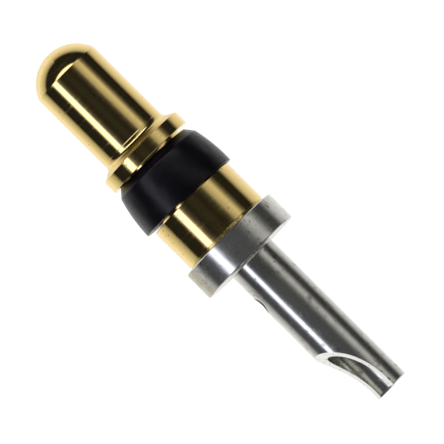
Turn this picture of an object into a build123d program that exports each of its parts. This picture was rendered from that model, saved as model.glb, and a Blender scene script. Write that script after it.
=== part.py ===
from build123d import *
import os
from math import atan, cos, degrees, isclose, radians, sin, tan

# A power contact of the plug kind for a combination D connector: a gold-plated turned pin,
# a black snap-in ring that is loose in its groove, and a bright-plated solder cup that is
# pressed into the back of the pin.
#
# The contact lies along X, with the mating nose towards -X, the solder cup towards +X and
# Z up. The origin is on the axis, in the plane where the cup's flange meets the pin.
# Lengths are in millimetres and angles in degrees.

# Mating nose
nose_dia = 3.60
nose_length = 5.73
dome_height = 1.24
dome_edge_round = 0.06
nose_root_radius = 0.30

# Cone and narrow flange ahead of the groove
cone_length = 0.42
front_flange_dia = 4.70
front_flange_thickness = 0.68

# Groove for the ring
groove_length = 2.67

# Body behind the groove
body_dia = 4.72
body_length = 2.43
body_bevel_length = 0.18
body_bevel_depth = 0.05
edge_break = 0.05

# Snap-in ring: its wall thickens from the front face over a lead-in to the full wall
ring_dia = 5.27
ring_wall = 0.74
ring_lead_wall = 0.47
ring_front_wall = 0.135
ring_lead_length = 0.40
ring_lead_round = 0.19
ring_back_chamfer = 0.03
ring_bore_chamfer = 0.05
ring_slit_width = 1.20
ring_slit_reach = 10
ring_slit_angle = 180
ring_clearance = 0.12
ring_play = 0.17
ring_lean_share = 0.87
ring_side_shift = 0.065
ring_seat_gap = 0.01

# Flange and stem of the solder cup
cup_flange_dia = 5.42
cup_flange_thickness = 1.51
cup_flange_chamfer = 0.04
stem_dia = 2.53
stem_length = 8.91
stem_root_radius = 0.14
stem_end_chamfer = 0.03

# Cup: a blind bore, a scooped side and a drain hole near the bottom of the bore. The two
# angles are measured from straight up, round towards -Y.
cup_bore_dia = 1.62
cup_bore_depth = 7.45
cup_mouth_chamfer = 0.11
cup_opening_angle = 67
scoop_cutter_dia = 7.66
scoop_depth = 1.28
scoop_floor_length = 0.65
drain_hole_dia = 0.83
drain_hole_distance = 1.94
drain_hole_angle = 88

# Press joint between the pin and the cup
spigot_dia = 2.90
spigot_length = 2.00
spigot_chamfer = 0.15
spigot_clearance = 0.01
socket_spare_depth = 0.25
drill_point_angle = 118

# Diameters of the ring's section, and of the groove floor under it
ring_bore_dia = ring_dia - 2 * ring_wall
ring_front_dia = ring_bore_dia + 2 * ring_front_wall
ring_lead_dia = ring_bore_dia + 2 * ring_lead_wall
groove_dia = ring_bore_dia - 2 * ring_clearance

# Places along X, worked back from the joint at the origin
body_front = -body_length
groove_front = body_front - groove_length
cone_back = groove_front - front_flange_thickness
cone_front = cone_back - cone_length
nose_tip = cone_front - nose_length
dome_edge = nose_tip + dome_height

# Places along X, worked on from the joint
stem_root = cup_flange_thickness
stem_end = stem_root + stem_length
cup_bottom = stem_end - cup_bore_depth
drain_hole_centre = stem_root + drain_hole_distance


def drill_point_length(radius):
    """Length of the cone that a drill of this radius leaves at the bottom of its hole."""
    return radius / tan(radians(drill_point_angle / 2))


def round_edges(piece, place, radius):
    """The piece's circular edges around X at this place and of this radius."""
    circles = piece.edges().filter_by(GeomType.CIRCLE)
    return circles.filter_by(
        lambda edge: isclose(edge.arc_center.X, place, abs_tol=1e-4)
        and isclose(edge.radius, radius, abs_tol=1e-4)
    )


# Gold-plated pin, turned in one piece: dome, nose, cone, flange, groove and body, with a
# blind socket in its back for the cup's spigot
socket_radius = spigot_dia / 2 + spigot_clearance
socket_depth = spigot_length + socket_spare_depth
socket_tip = socket_depth + drill_point_length(socket_radius)

with BuildPart() as contact_pin:
    with BuildSketch(Plane.XZ):
        with BuildLine():
            dome = TangentArc((nose_tip, 0), (dome_edge, nose_dia / 2), tangent=(0, 1))
            Polyline(
                dome @ 1,
                (cone_front, nose_dia / 2),
                (cone_back, front_flange_dia / 2),
                (groove_front, front_flange_dia / 2),
                (groove_front, groove_dia / 2),
                (body_front, groove_dia / 2),
                (body_front, body_dia / 2),
                (-body_bevel_length, body_dia / 2),
                (0, body_dia / 2 - body_bevel_depth),
                (0, socket_radius),
                (-socket_depth, socket_radius),
                (-socket_tip, 0),
                dome @ 0,
            )
        make_face()
    revolve(axis=Axis.X)
    fillet(round_edges(contact_pin, dome_edge, nose_dia / 2), dome_edge_round)
    fillet(round_edges(contact_pin, cone_front, nose_dia / 2), nose_root_radius)
    chamfer(round_edges(contact_pin, groove_front, front_flange_dia / 2), edge_break)
    chamfer(round_edges(contact_pin, body_front, body_dia / 2), edge_break)

# Black moulded ring. It is slit along its underside so that it can close into the groove, and
# the contact lies steady on the slit's two edges. It stands a little crooked and to the -Y side:
# its back face touches the body at the +Y side only.
ring_length = groove_length - ring_play
ring_lean = degrees(atan(2 * ring_lean_share * ring_play / (body_dia + ring_front_dia)))
ring_reach = body_dia / 2 + ring_side_shift
ring_back = body_front - ring_seat_gap - ring_reach * tan(radians(ring_lean))
ring_centre = (ring_back, -ring_side_shift, 0)

ring_along = Vector(cos(radians(ring_lean)), -sin(radians(ring_lean)), 0)
ring_aside = Vector(sin(radians(ring_lean)), cos(radians(ring_lean)), 0)
ring_plane = Plane(origin=ring_centre, x_dir=ring_along, z_dir=(0, 0, 1))

slit_angle = radians(ring_slit_angle)
slit_out = ring_aside * sin(slit_angle) + Vector(0, 0, cos(slit_angle))
slit_plane = Plane(origin=ring_centre, x_dir=ring_along, z_dir=slit_out)

with BuildPart() as retention_ring:
    with BuildSketch(ring_plane) as ring_profile:
        with BuildLine():
            Polyline(
                (0, ring_dia / 2),
                (0, ring_bore_dia / 2),
                (-ring_length, ring_bore_dia / 2),
                (-ring_length, ring_front_dia / 2),
                (-ring_length + ring_lead_length, ring_lead_dia / 2),
            )
            TangentArc(
                (0, ring_dia / 2),
                (-ring_length + ring_lead_length, ring_lead_dia / 2),
                tangent=(-1, 0),
            )
        make_face()
        corners = ring_profile.vertices()
        front_corners = corners.sort_by(Axis.X)[0:2].sort_by(Axis.Y)
        back_corners = corners.sort_by(Axis.X)[-2:].sort_by(Axis.Y)
        chamfer([front_corners[0], back_corners[0]], ring_bore_chamfer)
        lead_corners = ring_profile.vertices().sort_by(Axis.Y)
        fillet(lead_corners[-2], ring_lead_round)
        chamfer(ring_profile.vertices().sort_by(Axis.Y)[-1], ring_back_chamfer)
    revolve(axis=Axis(ring_centre, ring_along))
    with BuildSketch(slit_plane):
        Rectangle(ring_slit_reach, ring_slit_width)
    extrude(amount=ring_dia, mode=Mode.SUBTRACT)

# Solder cup, turned in one piece with its flange and its press spigot
opening = radians(cup_opening_angle)
opening_plane = Plane(origin=(stem_end, 0, 0), x_dir=(1, 0, 0), z_dir=(0, -cos(opening), -sin(opening)))
scoop_floor = stem_dia / 2 - scoop_depth
cutter_radius = scoop_cutter_dia / 2
drain_angle = radians(drain_hole_angle)
drain_out = Vector(0, -sin(drain_angle), cos(drain_angle))

with BuildPart() as solder_cup:
    with BuildSketch(Plane.XZ):
        with BuildLine():
            Polyline(
                (-spigot_length, 0),
                (-spigot_length, spigot_dia / 2),
                (0, spigot_dia / 2),
                (0, cup_flange_dia / 2),
                (stem_root, cup_flange_dia / 2),
                (stem_root, stem_dia / 2),
                (stem_end, stem_dia / 2),
                (stem_end, 0),
                close=True,
            )
        make_face()
    revolve(axis=Axis.X)
    chamfer(round_edges(solder_cup, -spigot_length, spigot_dia / 2), spigot_chamfer)
    chamfer(round_edges(solder_cup, 0, cup_flange_dia / 2), cup_flange_chamfer)
    chamfer(round_edges(solder_cup, stem_root, cup_flange_dia / 2), cup_flange_chamfer)
    fillet(round_edges(solder_cup, stem_root, stem_dia / 2), stem_root_radius)
    chamfer(round_edges(solder_cup, stem_end, stem_dia / 2), stem_end_chamfer)

    # Blind bore with a drill point and a broken mouth
    with BuildSketch(Plane.XZ):
        with BuildLine():
            Polyline(
                (cup_bottom - drill_point_length(cup_bore_dia / 2), 0),
                (cup_bottom, cup_bore_dia / 2),
                (stem_end - cup_mouth_chamfer, cup_bore_dia / 2),
                (stem_end, cup_bore_dia / 2 + cup_mouth_chamfer),
                (stem_end, 0),
                close=True,
            )
        make_face()
    revolve(axis=Axis.X, mode=Mode.SUBTRACT)

    # Scoop left by a round cutter that leaves through the open end
    with BuildSketch(opening_plane):
        with Locations((-scoop_floor_length, scoop_floor + cutter_radius)):
            Circle(cutter_radius)
        with Locations((-scoop_floor_length, scoop_floor)):
            Rectangle(2 * scoop_floor_length, cutter_radius, align=(Align.MIN, Align.MIN))
    extrude(amount=stem_dia, both=True, mode=Mode.SUBTRACT)

    # Drain hole, through one wall only, further round than the middle of the scoop
    with BuildSketch(Plane(origin=(drain_hole_centre, 0, 0), x_dir=(1, 0, 0), z_dir=drain_out)):
        Circle(drain_hole_dia / 2)
    extrude(amount=stem_dia, mode=Mode.SUBTRACT)

contact_pin.part.label = "contact_pin"
retention_ring.part.label = "retention_ring"
solder_cup.part.label = "solder_cup"

os.makedirs("parts", exist_ok=True)
for piece in (contact_pin, retention_ring, solder_cup):
    export_step(piece.part, f"parts/{piece.part.label}.step")
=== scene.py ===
import bpy
from math import asin, atan2, cos, hypot, pi, radians, sin, tan
from mathutils import Matrix, Vector


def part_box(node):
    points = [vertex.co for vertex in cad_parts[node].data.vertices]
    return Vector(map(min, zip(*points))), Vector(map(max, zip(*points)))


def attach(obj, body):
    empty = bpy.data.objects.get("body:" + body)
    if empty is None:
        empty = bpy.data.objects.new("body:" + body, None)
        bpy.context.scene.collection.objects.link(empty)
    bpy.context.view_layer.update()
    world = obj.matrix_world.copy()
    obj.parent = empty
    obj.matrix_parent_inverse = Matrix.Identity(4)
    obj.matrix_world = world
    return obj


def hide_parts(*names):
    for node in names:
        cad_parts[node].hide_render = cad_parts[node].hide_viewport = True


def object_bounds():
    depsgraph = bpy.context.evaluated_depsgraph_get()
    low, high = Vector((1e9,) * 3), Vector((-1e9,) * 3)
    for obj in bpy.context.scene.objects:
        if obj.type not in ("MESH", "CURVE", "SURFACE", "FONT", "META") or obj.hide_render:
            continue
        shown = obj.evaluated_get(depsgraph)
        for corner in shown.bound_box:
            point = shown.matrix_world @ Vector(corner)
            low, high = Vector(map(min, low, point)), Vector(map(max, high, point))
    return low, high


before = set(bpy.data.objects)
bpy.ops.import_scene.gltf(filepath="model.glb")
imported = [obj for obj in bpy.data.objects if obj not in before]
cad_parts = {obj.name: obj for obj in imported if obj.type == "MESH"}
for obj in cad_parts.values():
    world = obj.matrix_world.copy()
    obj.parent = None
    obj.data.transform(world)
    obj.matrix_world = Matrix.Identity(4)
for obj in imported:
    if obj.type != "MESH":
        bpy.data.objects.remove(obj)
cadLow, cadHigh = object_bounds()

mm = 0.001   # sizes below are in millimetres, meshes in metres


# Wiring helpers: a Tree makes nodes, and a Wire is one of their outputs, to be added, scaled and so on

class Wire:
    def __init__(self, tree, socket):
        self.tree = tree
        self.socket = socket

    def math(self, operation, first, second):
        return self.tree.add("ShaderNodeMath", {"operation": operation}, {0: first, 1: second})

    def __add__(self, other):
        return self.math("ADD", self, other)

    def __radd__(self, other):
        return self.math("ADD", other, self)

    def __sub__(self, other):
        return self.math("SUBTRACT", self, other)

    def __rsub__(self, other):
        return self.math("SUBTRACT", other, self)

    def __mul__(self, other):
        return self.math("MULTIPLY", self, other)

    def __rmul__(self, other):
        return self.math("MULTIPLY", other, self)

    def __gt__(self, other):
        return self.math("GREATER_THAN", self, other)

    def __lt__(self, other):
        return self.math("LESS_THAN", self, other)


class Tree:
    def __init__(self, nodeTree):
        self.nodeTree = nodeTree

    def add(self, kind, settings=None, sockets=None, output=0):
        node = self.nodeTree.nodes.new(kind)
        for name, value in (settings or {}).items():
            if name == "stops":
                self.setStops(node.color_ramp, value)
            else:
                setattr(node, name, value)
        for name, value in (sockets or {}).items():
            for one in value if isinstance(value, list) else [value]:
                if isinstance(one, Wire):
                    self.nodeTree.links.new(one.socket, node.inputs[name])
                else:
                    node.inputs[name].default_value = one
        return Wire(self, node.outputs[output]) if node.outputs else node

    def setStops(self, ramp, stops):
        while len(ramp.elements) < len(stops):
            ramp.elements.new(1.0)
        for element, (place, colour) in zip(ramp.elements, stops):
            element.position = place
            element.color = (*colour, 1)

    def place(self):
        return self.add("ShaderNodeTexCoord", output="Object")

    def axis(self, vector, letter):
        return self.add("ShaderNodeSeparateXYZ", None, {0: vector}, letter)

    def vector(self, **parts):
        return self.add("ShaderNodeCombineXYZ", None, parts)

    def function(self, operation, *values):
        return self.add("ShaderNodeMath", {"operation": operation}, dict(enumerate(values)))

    def towards(self, vector, direction):
        # how far the vector reaches in a direction
        settings = {"operation": "DOT_PRODUCT"}
        return self.add("ShaderNodeVectorMath", settings, {0: vector, 1: direction}, "Value")

    def above(self, wire, limit, steepness):
        # 0 below the limit, rising to 1 above it
        settings = {"operation": "MULTIPLY", "use_clamp": True}
        return self.add("ShaderNodeMath", settings, {0: wire - limit, 1: steepness})

    def mixColours(self, share, first, second):
        # each colour is a wire or three numbers
        first, second = ((*one, 1) if isinstance(one, tuple) else one for one in (first, second))
        return self.add("ShaderNodeMix", {"data_type": "RGBA"}, {0: share, 6: first, 7: second}, 2)

    def moved(self, shape, **how):
        return self.add("GeometryNodeTransform", None, {"Geometry": shape, **how})


# Turned shapes: a section of (x, radius) points in millimetres, spun round X by Geometry Nodes

cornerSteps = 6
cornerBeside = 0.15   # how far the close points stand off a rounded corner, as a share of its tangent


def arcPoints(centre, radius, start, end, steps):
    turns = [start + (end - start) * n / steps for n in range(steps + 1)]
    return [(centre[0] + radius * cos(turn), centre[1] + radius * sin(turn)) for turn in turns]


def bulge(run, rise):
    # radius and angle of the arc that is level at one end and rises this much over this run
    radius = (run ** 2 + rise ** 2) / (2 * rise)
    return radius, asin(run / radius)


def roundedCorner(before, corner, after, radius):
    # the arc that replaces a corner, tangent to both its sides, with a close point on each side
    # that keeps its shading off them
    toBefore = (Vector(before) - Vector(corner)).normalized()
    toAfter = (Vector(after) - Vector(corner)).normalized()
    half = toBefore.angle(toAfter) / 2
    tangent = radius / tan(half)
    middle = Vector(corner) + (toBefore + toAfter).normalized() * radius / sin(half)
    first = Vector(corner) + toBefore * tangent - middle
    last = Vector(corner) + toAfter * tangent - middle
    start = atan2(first.y, first.x)
    sweep = (atan2(last.y, last.x) - start + pi) % (2 * pi) - pi
    arc = arcPoints(middle, radius, start, start + sweep, cornerSteps)
    beside = cornerBeside * tangent
    return [tuple(Vector(arc[0]) + toBefore * beside), *arc, tuple(Vector(arc[-1]) + toAfter * beside)]


def sectionFrom(corners):
    # corners are (x, radius) or (x, radius, rounding)
    points = []
    for n, corner in enumerate(corners):
        if len(corner) == 3:
            points += roundedCorner(corners[n - 1][:2], corner[:2], corners[n + 1][:2], corner[2])
        else:
            points.append(corner)
    return points


def withShortRuns(points, longest):
    # long straight runs are divided, so that booleans cut small faces
    divided = [points[0]]
    for before, after in zip(points, points[1:]):
        runs = max(1, round(hypot(after[0] - before[0], after[1] - before[1]) / longest))
        for n in range(1, runs + 1):
            share = n / runs
            divided.append(tuple(a + (b - a) * share for a, b in zip(before, after)))
    return divided


def newObject(name, mesh):
    made = bpy.data.objects.new(name, mesh)
    bpy.context.scene.collection.objects.link(made)
    return made


def sectionObject(name, points):
    mesh = bpy.data.meshes.new(name)
    spots = [(x * mm, 0, max(radius, 0) * mm) for x, radius in points]
    mesh.from_pydata(spots, [(n, n + 1) for n in range(len(spots) - 1)], [])
    return newObject(name, mesh)


def newGeometryTree(name, *numbers):
    # a tree with the inputs that all pieces share and this piece's own numbers
    nodeTree = bpy.data.node_groups.new(name, "GeometryNodeTree")
    inputs = {"Geometry": "Geometry", "Finish": "Material",
              "Steps Round": "Int", "Sharp Angle": "Float"}
    inputs.update({label: "Float" for label in numbers})
    for label, kind in inputs.items():
        nodeTree.interface.new_socket(label, in_out="INPUT", socket_type="NodeSocket" + kind)
    nodeTree.interface.new_socket("Geometry", in_out="OUTPUT", socket_type="NodeSocketGeometry")
    tree = Tree(nodeTree)
    sources = tree.add("NodeGroupInput").socket.node.outputs
    return tree, {socket.name: Wire(tree, socket) for socket in sources if socket.name}


def spin(tree, wires):
    # one row of a grid for each point of the section, one column for each step round
    section = wires["Geometry"]
    count = tree.add("GeometryNodeAttributeDomainSize", None, {0: section})
    columns = wires["Steps Round"] + 1
    grid = tree.add("GeometryNodeMeshGrid", None, {"Vertices X": count, "Vertices Y": columns})
    place = tree.add("GeometryNodeInputPosition")
    row = tree.function("ROUND", (tree.axis(place, "X") + 0.5) * (count - 1))
    point = tree.add("GeometryNodeSampleIndex", {"data_type": "FLOAT_VECTOR"},
                     {"Geometry": section, "Value": place, "Index": row})
    turn = (tree.axis(place, "Y") + 0.5) * (2 * pi)
    radius = tree.axis(point, "Z")
    spot = tree.vector(X=tree.axis(point, "X"), Y=radius * tree.function("SINE", turn),
                       Z=radius * tree.function("COSINE", turn))
    spun = tree.add("GeometryNodeSetPosition", None, {"Geometry": grid, "Position": spot})
    return tree.add("GeometryNodeMergeByDistance", None, {"Geometry": spun, "Distance": 1e-4 * mm})


def cutAway(tree, shape, cutters):
    settings = {"operation": "DIFFERENCE", "solver": "MANIFOLD"}
    return tree.add("GeometryNodeMeshBoolean", settings, {"Mesh 1": shape, "Mesh 2": cutters})


def finishTree(tree, wires, shape):
    # smooth faces, sharp edges past the given angle, then the finish
    smooth = tree.add("GeometryNodeSetShadeSmooth", {"domain": "FACE"},
                      {"Geometry": shape, "Shade Smooth": True})
    angle = tree.add("GeometryNodeInputMeshEdgeAngle")
    sharp = tree.add("GeometryNodeSetShadeSmooth", {"domain": "EDGE"}, {
        "Geometry": smooth, "Selection": angle > wires["Sharp Angle"], "Shade Smooth": False})
    real = tree.add("GeometryNodeRealizeInstances", None, {"Geometry": sharp})
    sockets = {"Geometry": real, "Material": wires["Finish"]}
    finished = tree.add("GeometryNodeSetMaterial", None, sockets)
    tree.add("NodeGroupOutput", None, {"Geometry": finished})


def makePiece(name, sizes, corners, tree, values, node):
    # values are for the tree's inputs, node is the CAD node that the piece replaces
    points = withShortRuns(sectionFrom(corners), sizes["longestRun"])
    section = sectionObject(name + "Section", points)
    values = {**values, "Steps Round": sizes["stepsRound"], "Sharp Angle": radians(sizes["sharpAngle"])}
    modifier = section.modifiers.new("shape", "NODES")
    modifier.node_group = tree.nodeTree
    for item in tree.nodeTree.interface.items_tree:
        if item.in_out == "INPUT" and item.name in values:
            modifier[item.identifier] = values[item.name]
    evaluated = section.evaluated_get(bpy.context.evaluated_depsgraph_get())
    mesh = bpy.data.meshes.new_from_object(evaluated)
    section.modifiers.remove(modifier)
    bpy.data.objects.remove(section)
    mesh.name = name
    piece = newObject(name, mesh)
    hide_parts(node)
    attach(piece, "root")
    print(name, "has", sum(len(face.vertices) - 2 for face in mesh.polygons), "triangles")


# Finishes

def newFinish(name, constants):
    material = bpy.data.materials.new(name)
    material.use_nodes = True
    shader = material.node_tree.nodes["Principled BSDF"]
    for socket, value in constants.items():
        shader.inputs[socket].default_value = value
    return material, Tree(material.node_tree), shader


def connect(tree, wire, shader, socket):
    tree.nodeTree.links.new(wire.socket, shader.inputs[socket])


def streaks(tree, alongPitch, aroundPitch, detail=2.0):
    # noise drawn out round the axis, as a turning tool leaves it
    scale = tuple(1 / (pitch * mm) for pitch in (alongPitch, aroundPitch, aroundPitch))
    stretched = tree.add("ShaderNodeMapping", None, {"Vector": tree.place(), "Scale": scale})
    return tree.add("ShaderNodeTexNoise", None, {"Vector": stretched, "Scale": 1.0, "Detail": detail})


def blotches(tree, size, detail=3.0):
    sockets = {"Vector": tree.place(), "Scale": 1 / (size * mm), "Detail": detail}
    return tree.add("ShaderNodeTexNoise", None, sockets)


def specks(tree, look):
    spots = blotches(tree, look["speckSize"], detail=0.0)
    return tree.above(spots, look["speckLimit"], look["speckEdge"])


def bump(tree, shader, height, depth):
    sockets = {"Height": height, "Distance": depth * mm, "Strength": 1.0}
    connect(tree, tree.add("ShaderNodeBump", None, sockets), shader, "Normal")


goldPlate = {
    "bright": (0.90, 0.69, 0.28), "deep": (0.85, 0.63, 0.23), "blotch": 1.4,
    "roughness": 0.05, "roughnessSpread": 0.06,
    "markPitch": 0.03, "markReach": 2.0, "markDepth": 0.0006,   # fine turning marks
    "linePitch": 0.11, "lineReach": 4.0, "lineLimit": 0.55, "lineEdge": 1.0, "lineRoughness": 0.5,
    "speckSize": 0.12, "speckLimit": 0.77, "speckEdge": 12.0, "speck": (0.22, 0.15, 0.05),
    "coneFront": -6.04, "coneBack": -5.8, "coneRoughness": 0.2,   # the cone is turned less finely
}


def makeGold():
    material, tree, shader = newFinish("goldPlate", {"Metallic": 1.0})
    marks = streaks(tree, goldPlate["markPitch"], goldPlate["markReach"])
    wide = streaks(tree, goldPlate["linePitch"], goldPlate["lineReach"], detail=1.0)
    lines = tree.above(wide, goldPlate["lineLimit"], goldPlate["lineEdge"])
    cloud = blotches(tree, goldPlate["blotch"])
    plate = tree.mixColours(cloud, goldPlate["bright"], goldPlate["deep"])
    colour = tree.mixColours(specks(tree, goldPlate), plate, goldPlate["speck"])
    connect(tree, colour, shader, "Base Color")
    along = tree.axis(tree.place(), "X")
    cone = (along > goldPlate["coneFront"] * mm) * (along < goldPlate["coneBack"] * mm)
    roughness = (marks * goldPlate["roughnessSpread"] + lines * goldPlate["lineRoughness"]
                 + goldPlate["roughness"] + cone * goldPlate["coneRoughness"])
    connect(tree, roughness, shader, "Roughness")
    bump(tree, shader, marks, goldPlate["markDepth"])
    return material


brightPlate = {
    "light": (0.75, 0.745, 0.68), "dull": (0.64, 0.635, 0.58), "blotch": 0.5, "metallic": 0.87,
    "roughness": 0.13, "roughnessSpread": 0.12,
    "markPitch": 0.05, "markReach": 0.8, "markDepth": 0.002,
    "scuffSize": 0.45, "scuffLimit": 0.56, "scuffEdge": 5.0, "scuffRoughness": 0.2,
    "scuff": (0.36, 0.33, 0.26),
    "speckSize": 0.12, "speckLimit": 0.74, "speckEdge": 12.0, "speck": (0.16, 0.15, 0.13),
    # places of the drain hole's painted shade, of the painted highlight on the cup's cut wall and of
    # the
    # # yellow-brown stretch on the flange's rim; the angles are from straight up, round towards -Y
    "rimAlong": 3.45, "rimAngle": 88, "rimRadius": 0.53, "rimFrom": 0.7, "rimEdge": 50,
    # painted shade: a near-black rim round the drain hole stands in for the shade seen through it
    "holeShade": (0.025, 0.024, 0.022),
    # painted highlight: the cut wall is given a lighter colour than the plating
    "cutFront": 6.5, "cutInside": 0.89, "cutOutside": 1.24, "cut": (0.83, 0.82, 0.78),
    "warmAngle": 72, "warmFrom": 2.59, "warmEdge": 11, "warmStretch": (0.46, 0.435, 0.31),
}


def paintedHoleShade(tree):
    # 1 on the rim round the drain hole, where shade is painted: near the hole's axis and on its side of
    # the stem
    place = tree.place()
    turn = radians(brightPlate["rimAngle"])
    along = tree.axis(place, "X") - brightPlate["rimAlong"] * mm
    aside = tree.towards(place, (0, cos(turn), sin(turn)))
    out = tree.towards(place, (0, -sin(turn), cos(turn)))
    away = tree.function("SQRT", along * along + aside * aside)
    near = tree.above(brightPlate["rimRadius"] * mm - away, 0.0, brightPlate["rimEdge"] / mm)
    return near * (out > brightPlate["rimFrom"] * mm)


def scoopCutHighlight(tree):
    # 1 inside the cup's wall, between the bore and the outside, where the scoop opens it; a lighter
    # colour there is a painted highlight
    place = tree.place()
    across = tree.add("ShaderNodeVectorMath", {"operation": "MULTIPLY"}, {0: place, 1: (0, 1, 1)})
    radius = tree.add("ShaderNodeVectorMath", {"operation": "LENGTH"}, {0: across}, "Value")
    wall = (radius > brightPlate["cutInside"] * mm) * (radius < brightPlate["cutOutside"] * mm)
    return wall * (tree.axis(place, "X") > brightPlate["cutFront"] * mm)


def warmFlangeStretch(tree):
    # 1 on a stretch of the flange's rim, which alone reaches this far out
    turn = radians(brightPlate["warmAngle"])
    out = tree.towards(tree.place(), (0, -sin(turn), cos(turn)))
    return tree.above(out, brightPlate["warmFrom"] * mm, brightPlate["warmEdge"] / mm)


def makeBrightPlate():
    material, tree, shader = newFinish("brightPlate", {"Metallic": brightPlate["metallic"]})
    marks = streaks(tree, brightPlate["markPitch"], brightPlate["markReach"])
    cloud = blotches(tree, brightPlate["blotch"])
    worn = blotches(tree, brightPlate["scuffSize"], detail=4.0)
    scuffs = tree.above(worn, brightPlate["scuffLimit"], brightPlate["scuffEdge"])
    colour = tree.mixColours(cloud, brightPlate["light"], brightPlate["dull"])
    # the lighter cut faces are a painted highlight, the dark rim round the drain hole is painted shade
    for share, name in ((warmFlangeStretch(tree), "warmStretch"), (scuffs, "scuff"), (scoopCutHighlight(tree), "cut"),
                        (specks(tree, brightPlate), "speck"), (paintedHoleShade(tree), "holeShade")):
        colour = tree.mixColours(share, colour, brightPlate[name])
    connect(tree, colour, shader, "Base Color")
    roughness = (cloud * brightPlate["roughnessSpread"] + scuffs * brightPlate["scuffRoughness"]
                 + brightPlate["roughness"])
    connect(tree, roughness, shader, "Roughness")
    bump(tree, shader, marks + cloud, brightPlate["markDepth"])
    return material


blackPlastic = {
    "dark": (0.003, 0.0022, 0.0045), "worn": (0.006, 0.0048, 0.009), "blotch": 0.7,
    "roughness": 0.25, "roughnessSpread": 0.12, "specular": 0.24,
    "grain": 0.09, "grainDepth": 0.004, "lump": 1.0, "lumpDepth": 0.045,
}


def makePlastic():
    material, tree, shader = newFinish("blackPlastic", {"Specular IOR Level": blackPlastic["specular"]})
    cloud = blotches(tree, blackPlastic["blotch"])
    colour = tree.mixColours(cloud, blackPlastic["dark"], blackPlastic["worn"])
    connect(tree, colour, shader, "Base Color")
    roughness = cloud * blackPlastic["roughnessSpread"] + blackPlastic["roughness"]
    connect(tree, roughness, shader, "Roughness")
    grain = blotches(tree, blackPlastic["grain"])
    lumps = blotches(tree, blackPlastic["lump"], detail=1.0)
    bump(tree, shader, grain * blackPlastic["grainDepth"] + lumps * blackPlastic["lumpDepth"], 1.0)
    return material


# Gold pin, from the domed tip back to the joint and its hidden socket

pin = {
    "noseRadius": 1.80, "domeHeight": 1.24, "domeRounding": 0.06, "domeSteps": 40, "noseLength": 5.83,
    "nickBefore": 0.27, "nickWidth": 0.03, "nickDepth": 0.006, "rootRounding": 0.30,
    "coneLength": 0.32, "coneMarks": 5, "marksFrom": 0.12, "markDepth": 0.016,
    "markInward": (0.8, -0.6), "markUneven": 0.25, "markTurn": 2.4,   # the marks differ in depth
    "flangeRadius": 2.35, "flangeThickness": 0.68, "grooveRadius": 1.775, "edgeRounding": 0.035,
    "bodyRadius": 2.36, "bodyLength": 2.43, "bevelLength": 0.18, "bevelDepth": 0.05,
    "socketRadius": 1.46, "socketDepth": 2.25, "socketTip": 3.127,
    "longestRun": 0.5, "stepsRound": 240, "sharpAngle": 14,
}


def coneSection(front):
    # the cone's points between its two ends, every second one sunk into it
    rise = pin["flangeRadius"] - pin["noseRadius"]
    inward = pin["markInward"]
    steps = 2 * pin["coneMarks"]
    spots = []
    for n in range(1, steps):
        share = n / steps
        uneven = 1 - pin["markUneven"] + pin["markUneven"] * sin(pin["markTurn"] * n)
        sink = pin["markDepth"] * uneven if n % 2 else 0
        spots.append((front + share * pin["coneLength"] + sink * inward[0],
                      pin["noseRadius"] + share * rise + sink * inward[1]))
    return [spot for spot in spots if spot[0] > front + pin["marksFrom"]]


def makePin(finish):
    low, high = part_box("contact_pin")
    tip = low.x / mm
    back = high.x / mm
    nose = pin["noseRadius"]
    domeRadius, domeSweep = bulge(nose, pin["domeHeight"])
    dome = arcPoints((tip + domeRadius, 0), domeRadius, pi, pi - domeSweep, pin["domeSteps"])
    coneFront = tip + pin["noseLength"]
    coneBack = coneFront + pin["coneLength"]
    grooveFront = coneBack + pin["flangeThickness"]
    grooveBack = back - pin["bodyLength"]
    nick = coneFront - pin["nickBefore"]
    edge = pin["edgeRounding"]
    corners = [
        *dome[:-1],
        (*dome[-1], pin["domeRounding"]),
        (nick, nose),
        (nick + pin["nickWidth"] / 2, nose - pin["nickDepth"]),
        (nick + pin["nickWidth"], nose),
        (coneFront, nose, pin["rootRounding"]),
        *coneSection(coneFront),
        (coneBack, pin["flangeRadius"]),
        (grooveFront, pin["flangeRadius"], edge),
        (grooveFront, pin["grooveRadius"]),
        (grooveBack, pin["grooveRadius"]),
        (grooveBack, pin["bodyRadius"], edge),
        (back - pin["bevelLength"], pin["bodyRadius"]),
        (back, pin["bodyRadius"] - pin["bevelDepth"]),
        (back, pin["socketRadius"]),
        (back - pin["socketDepth"], pin["socketRadius"]),
        (back - pin["socketTip"], 0)]
    tree, wires = newGeometryTree("pinShape")
    finishTree(tree, wires, spin(tree, wires))
    makePiece("goldPin", pin, corners, tree, {"Finish": finish}, "contact_pin")


# Black ring, slit along its underside and leaning in its groove

ring = {
    "radius": 2.635, "boreRadius": 1.895, "frontRadius": 2.03, "leadRadius": 2.365,
    "length": 2.50, "leadLength": 0.40, "leadRounding": 0.19, "barrelSteps": 24,
    "backBreak": 0.01, "boreBreak": 0.05, "slitWidth": 1.20, "slitBlock": 10,
    "lean": 1.9296, "back": -2.5217, "sideShift": -0.065,
    "longestRun": 0.25, "stepsRound": 240, "sharpAngle": 20,
}


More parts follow.
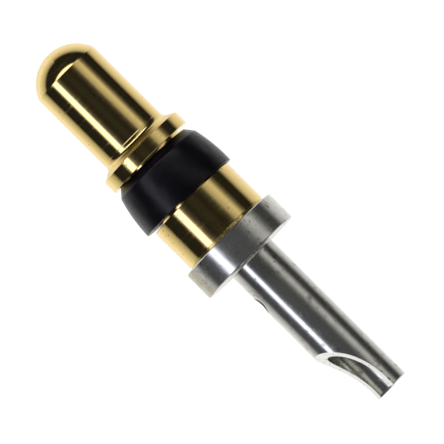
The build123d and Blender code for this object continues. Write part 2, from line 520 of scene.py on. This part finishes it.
def makeRing(finish):
    front = -ring["length"]
    bore = ring["boreRadius"]
    radius = ring["radius"]
    bow, sweep = bulge(ring["length"] - ring["leadLength"], radius - ring["leadRadius"])
    barrel = arcPoints((0, radius - bow), bow, pi / 2, pi / 2 + sweep, ring["barrelSteps"])
    cut = ring["boreBreak"]
    chip = ring["backBreak"]
    corners = [
        (-cut, bore),
        (0, bore + cut),
        (0, radius - chip),
        (-chip, radius),
        *barrel[1:-1],
        (*barrel[-1], ring["leadRounding"]),
        (front, ring["frontRadius"]),
        (front, bore + cut),
        (front + cut, bore),
        (-cut, bore)]
    tree, wires = newGeometryTree("ringShape", "Slit Width", "Slit Block", "Lean", "Back", "Side Shift")
    side = wires["Slit Block"]
    slitBox = tree.add("GeometryNodeMeshCube", None, {
        "Size": tree.vector(X=side, Y=wires["Slit Width"], Z=side)})
    slit = tree.moved(slitBox, Translation=tree.vector(Z=side * -0.5))
    slitRing = cutAway(tree, spin(tree, wires), slit)
    leaning = tree.moved(slitRing, Rotation=tree.vector(Z=wires["Lean"]),
                         Translation=tree.vector(X=wires["Back"], Y=wires["Side Shift"]))
    finishTree(tree, wires, leaning)
    values = {"Slit Width": ring["slitWidth"] * mm, "Slit Block": ring["slitBlock"] * mm,
              "Lean": -radians(ring["lean"]), "Back": ring["back"] * mm,
              "Side Shift": ring["sideShift"] * mm, "Finish": finish}
    makePiece("snapRing", ring, corners, tree, values, "retention_ring")


# Solder cup: spigot, flange, stem and bore in one section, then the scoop and the drain hole cut out.
# openingAngle and holeAngle are from straight up, round towards -Y.

cup = {
    "spigotRadius": 1.45, "spigotLength": 2.00, "spigotBreak": 0.15,
    "flangeRadius": 2.71, "flangeThickness": 1.51, "flangeBreak": 0.04,
    "stemRadius": 1.265, "rootRounding": 0.14, "endBreak": 0.03,
    "boreRadius": 0.86, "boreDepth": 7.45, "mouthBreak": 0.11, "drillAngle": 118,
    "openingAngle": 67, "cutterRadius": 4.4, "cutterSteps": 512,
    "scoopFloor": -0.015, "scoopFloorLength": 0.40,
    "holeRadius": 0.415, "holeDistance": 1.94, "holeAngle": 88, "holeSteps": 96,
    "longestRun": 0.25, "stepsRound": 240, "sharpAngle": 20,
}


def makeCup(finish):
    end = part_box("solder_cup")[1].x / mm
    root = cup["flangeThickness"]
    bottom = end - cup["boreDepth"]
    bore = cup["boreRadius"]
    chip = cup["flangeBreak"]
    corners = [
        (-cup["spigotLength"], 0),
        (-cup["spigotLength"], cup["spigotRadius"] - cup["spigotBreak"]),
        (-cup["spigotLength"] + cup["spigotBreak"], cup["spigotRadius"]),
        (0, cup["spigotRadius"]),
        (0, cup["flangeRadius"] - chip),
        (chip, cup["flangeRadius"]),
        (root - chip, cup["flangeRadius"]),
        (root, cup["flangeRadius"] - chip),
        (root, cup["stemRadius"], cup["rootRounding"]),
        (end - cup["endBreak"], cup["stemRadius"]),
        (end, cup["stemRadius"] - cup["endBreak"]),
        (end, bore + cup["mouthBreak"]),
        (end - cup["mouthBreak"], bore),
        (bottom, bore),
        (bottom - bore / tan(radians(cup["drillAngle"] / 2)), 0)]
    tree, wires = newGeometryTree(
        "cupShape", "Opening Angle", "Cutter Radius", "Cutter Width", "Scoop Floor", "Scoop Start",
        "Hole Radius", "Hole Place", "Hole Angle")
    radius = wires["Cutter Radius"]
    width = wires["Cutter Width"]
    floor = wires["Scoop Floor"]
    start = wires["Scoop Start"]
    opening = tree.vector(X=wires["Opening Angle"])
    wheel = tree.add("GeometryNodeMeshCylinder", None, {
        "Vertices": cup["cutterSteps"], "Radius": radius, "Depth": width})
    roundPart = tree.moved(wheel, Translation=tree.vector(X=start, Z=floor + radius),
                           Rotation=tree.vector(X=pi / 2))
    block = tree.add("GeometryNodeMeshCube", None, {"Size": tree.vector(X=radius, Y=width, Z=radius)})
    blockPlace = tree.vector(X=start + radius * 0.5, Z=floor + radius * 0.5)
    straightPart = tree.moved(block, Translation=blockPlace)
    drill = tree.add("GeometryNodeMeshCylinder", None, {
        "Vertices": cup["holeSteps"], "Radius": wires["Hole Radius"], "Depth": width})
    hole = tree.moved(drill, Translation=tree.vector(X=wires["Hole Place"], Z=width * 0.5))
    cutters = [tree.moved(roundPart, Rotation=opening), tree.moved(straightPart, Rotation=opening),
               tree.moved(hole, Rotation=tree.vector(X=wires["Hole Angle"]))]
    finishTree(tree, wires, cutAway(tree, spin(tree, wires), cutters))
    values = {"Opening Angle": radians(cup["openingAngle"]), "Cutter Radius": cup["cutterRadius"] * mm,
              "Cutter Width": 2 * cup["flangeRadius"] * mm, "Scoop Floor": cup["scoopFloor"] * mm,
              "Scoop Start": (end - cup["scoopFloorLength"]) * mm,
              "Hole Radius": cup["holeRadius"] * mm, "Hole Place": (root + cup["holeDistance"]) * mm,
              "Hole Angle": radians(cup["holeAngle"]), "Finish": finish}
    makePiece("solderCup", cup, corners, tree, values, "solder_cup")


makePin(makeGold())
makeRing(makePlastic())
makeCup(makeBrightPlate())


# Stage: a white floor that only the camera sees, a hidden floor for the reflections, whose glow
# fades away from the contact, and the surround

stage = {
    "floorReach": 500.0, "floorGlow": 0.93, "floorGrey": 0.3, "surround": (0.0182, 0.0185, 0.0215),
    "bounceReach": 90.0, "bounceGlow": 1.12, "bounceDrop": 0.01,
    # pairs of a distance and the glow there, on the -Y side of the contact and on its +Y side
    "bounceLeft": ((0, 0.86), (3.1, 0.88), (4.4, 0.96), (5.4, 0.97), (6.5, 0.88), (8.0, 0.78),
                   (9.5, 0.71), (11.7, 0.62), (15, 0.54), (19, 0.46), (27, 0.34), (42, 0.16),
                   (60, 0.07), (90, 0.02)),
    "bounceRight": ((0, 0.88), (3.7, 0.91), (5.2, 0.87), (6, 0.81), (7, 0.77), (8, 0.72),
                    (9.2, 0.66), (10.8, 0.59), (13, 0.50), (16, 0.38), (20.7, 0.19), (28.8, 0.05),
                    (46, 0.02), (90, 0.0)),
    # beside the nose, up to noseBack, and the stem, from stemFront on, it fades faster by these shares
    "noseBack": -6.2, "noseFade": 0.1, "stemFront": 1.6, "stemFade": 0.68,
}


def glowing(name, colour, strength, grey=0.0):
    return newFinish(name, {
        "Base Color": (grey, grey, grey, 1), "Roughness": 0.9, "Specular IOR Level": 0.0,
        "Emission Color": (*colour, 1), "Emission Strength": strength})


def stageSheet(name, spots, faces, material):
    mesh = bpy.data.meshes.new(name)
    mesh.from_pydata(spots, [], faces)
    mesh.materials.append(material)
    sheet = newObject(name, mesh)
    return sheet


def flatSheet(name, reach, height, material):
    side = reach * mm
    spots = [(-side, -side, height), (side, -side, height), (side, side, height), (-side, side, height)]
    return stageSheet(name, spots, [(0, 1, 2, 3)], material)


def makeStage():
    white = (1.0, 1.0, 1.0)
    floorWhite = glowing("floorWhite", white, stage["floorGlow"], stage["floorGrey"])[0]
    floor = flatSheet("floor", stage["floorReach"], cadLow.z, floorWhite)
    floor.visible_glossy = False
    floor.visible_diffuse = False
    material, tree, shader = glowing("bounceWhite", white, stage["bounceGlow"])
    place = tree.place()
    along = tree.axis(place, "X")
    aside = tree.axis(place, "Y")
    fromMiddle = tree.function("ABSOLUTE", along - (cadLow.x + cadHigh.x) / 2)
    beyond = tree.function("MAXIMUM", fromMiddle - (cadHigh.x - cadLow.x) / 2, 0.0)
    away = tree.function("SQRT", beyond * beyond + aside * aside)
    slim = ((along < stage["noseBack"] * mm) * stage["noseFade"]
            + (along > stage["stemFront"] * mm) * stage["stemFade"])
    share = away * (slim + 1.0) * (1 / (stage["bounceReach"] * mm))
    sides = []
    for key in ("bounceLeft", "bounceRight"):
        stops = [(distance / stage["bounceReach"], (glow, glow, glow)) for distance, glow in stage[key]]
        sides.append(tree.add("ShaderNodeValToRGB", {"stops": stops}, {0: share}))
    connect(tree, tree.mixColours(aside > 0.0, *sides), shader, "Emission Color")
    bounceHeight = cadLow.z - stage["bounceDrop"] * mm
    bounce = flatSheet("bounceFloor", stage["bounceReach"], bounceHeight, material)
    bounce.visible_camera = False
    world = bpy.data.worlds.new("surround")
    bpy.context.scene.world = world
    world.use_nodes = True
    background = world.node_tree.nodes["Background"]
    background.inputs["Color"].default_value = (*stage["surround"], 1)
    background.inputs["Strength"].default_value = 1.0


# Light cards: each is an arc round the contact. Its steps are angles from straight up and the glow
# there. A lean turns its glow by so many degrees for each millimetre along the contact.

cardShape = {"distance": 300.0, "slices": 24}

cards = {
    "keySoftbox": {
        "towards": (0, -1), "length": 300, "tint": (0.80, 0.83, 1.0),
        "steps": ((20, 0.03), (27, 0.06), (32, 0.14), (35.6, 0.30), (38.0, 1.4), (40.6, 2.75),
                  (50, 2.75), (53.5, 1.8), (56, 0.55), (59, 0.09), (62, 0.03))},
    "sideCard": {
        "towards": (0, 1), "length": 300, "tint": (1.0, 0.99, 0.96), "lean": 0.25, "leanFrom": -20,
        "steps": ((14, 0.02), (20, 0.025), (24, 0.033), (30, 0.07), (34, 0.18), (37, 0.39), (46, 0.58),
                  (53.5, 0.71), (58, 0.53), (62, 0.28), (66, 0.12), (74, 0.02))},
    "topCard": {
        "towards": (0, 1), "length": 300, "tint": (0.95, 0.96, 1.0),
        "steps": ((-19, 0.02), (-6, 0.033), (6, 0.031), (14, 0.019), (19, 0.025))},
    "noseCard": {
        "towards": (-1, 0), "length": 700, "tint": (0.93, 0.95, 1.0),
        "steps": ((39, 0.0), (41, 2.4), (46, 2.8), (53, 2.3), (57, 0.0))},
    "tailCard": {
        "towards": (1, 0), "length": 700, "tint": (0.98, 0.99, 1.0),
        "steps": ((24, 0.0), (31, 0.12), (38, 0.5), (66, 0.5), (76, 0.28), (84, 0.0))},
}


def makeCards():
    distance = cardShape["distance"] * mm
    slices = cardShape["slices"]
    for name, card in cards.items():
        steps = card["steps"]
        first, last = steps[0][0], steps[-1][0]
        brightest = max(glow for angle, glow in steps)
        aside = Vector((*card["towards"], 0))
        along = Vector((0, 0, 1)).cross(aside) * card["length"] / 2 * mm
        spots = []
        for n in range(slices + 1):
            turn = radians(first + (last - first) * n / slices)
            out = (aside * sin(turn) + Vector((0, 0, cos(turn)))) * distance
            spots += [out - along, out + along]
        faces = [(2 * n, 2 * n + 1, 2 * n + 3, 2 * n + 2) for n in range(slices)]
        material, tree, shader = glowing(name, card["tint"], brightest)
        place = tree.place()
        angle = tree.function("ARCTAN2", tree.towards(place, tuple(aside)), tree.axis(place, "Z"))
        lean = radians(card.get("lean", 0)) / mm
        leant = (tree.axis(place, "X") - card.get("leanFrom", 0) * mm) * lean
        share = (angle - leant - radians(first)) * (1 / radians(last - first))
        stops = [((step - first) / (last - first), tuple(glow / brightest * c for c in card["tint"]))
                 for step, glow in steps]
        shade = tree.add("ShaderNodeValToRGB", {"stops": stops}, {0: share})
        connect(tree, shade, shader, "Emission Color")
        stageSheet(name, spots, faces, material).visible_camera = False


# Camera: nearly straight above, with the contact's axis turned in the picture as photographed

view = {
    "lens": 1000.0, "sensor": 36.0, "picture": 444, "pixelsPerMm": 21.389,
    "axisTurn": 44.87, "tilt": 2.5,
    "originRight": 6.177, "originDown": 12.883,   # the origin from the picture's middle, in pixels
}


def makeCamera():
    tilt = radians(view["tilt"])
    turn = radians(view["axisTurn"])
    back = Vector((sin(tilt), 0, cos(tilt)))
    along = Vector((cos(tilt), 0, -sin(tilt)))
    side = Vector((0, 1, 0))
    right = along * cos(turn) + side * sin(turn)
    up = side * cos(turn) - along * sin(turn)
    middle = (up * view["originDown"] - right * view["originRight"]) / view["pixelsPerMm"] * mm
    width = view["picture"] / view["pixelsPerMm"] * mm
    place = middle + back * width * view["lens"] / view["sensor"]
    data = bpy.data.cameras.new("camera")
    data.lens = view["lens"]
    data.sensor_width = view["sensor"]
    data.clip_start = 0.001
    camera = newObject("camera", data)
    camera.matrix_world = Matrix.Translation(place) @ Matrix((right, up, back)).transposed().to_4x4()
    bpy.context.scene.camera = camera
    bpy.context.scene.view_settings.view_transform = "Standard"


makeStage()
makeCards()
makeCamera()
print("stage, cards and camera are set")
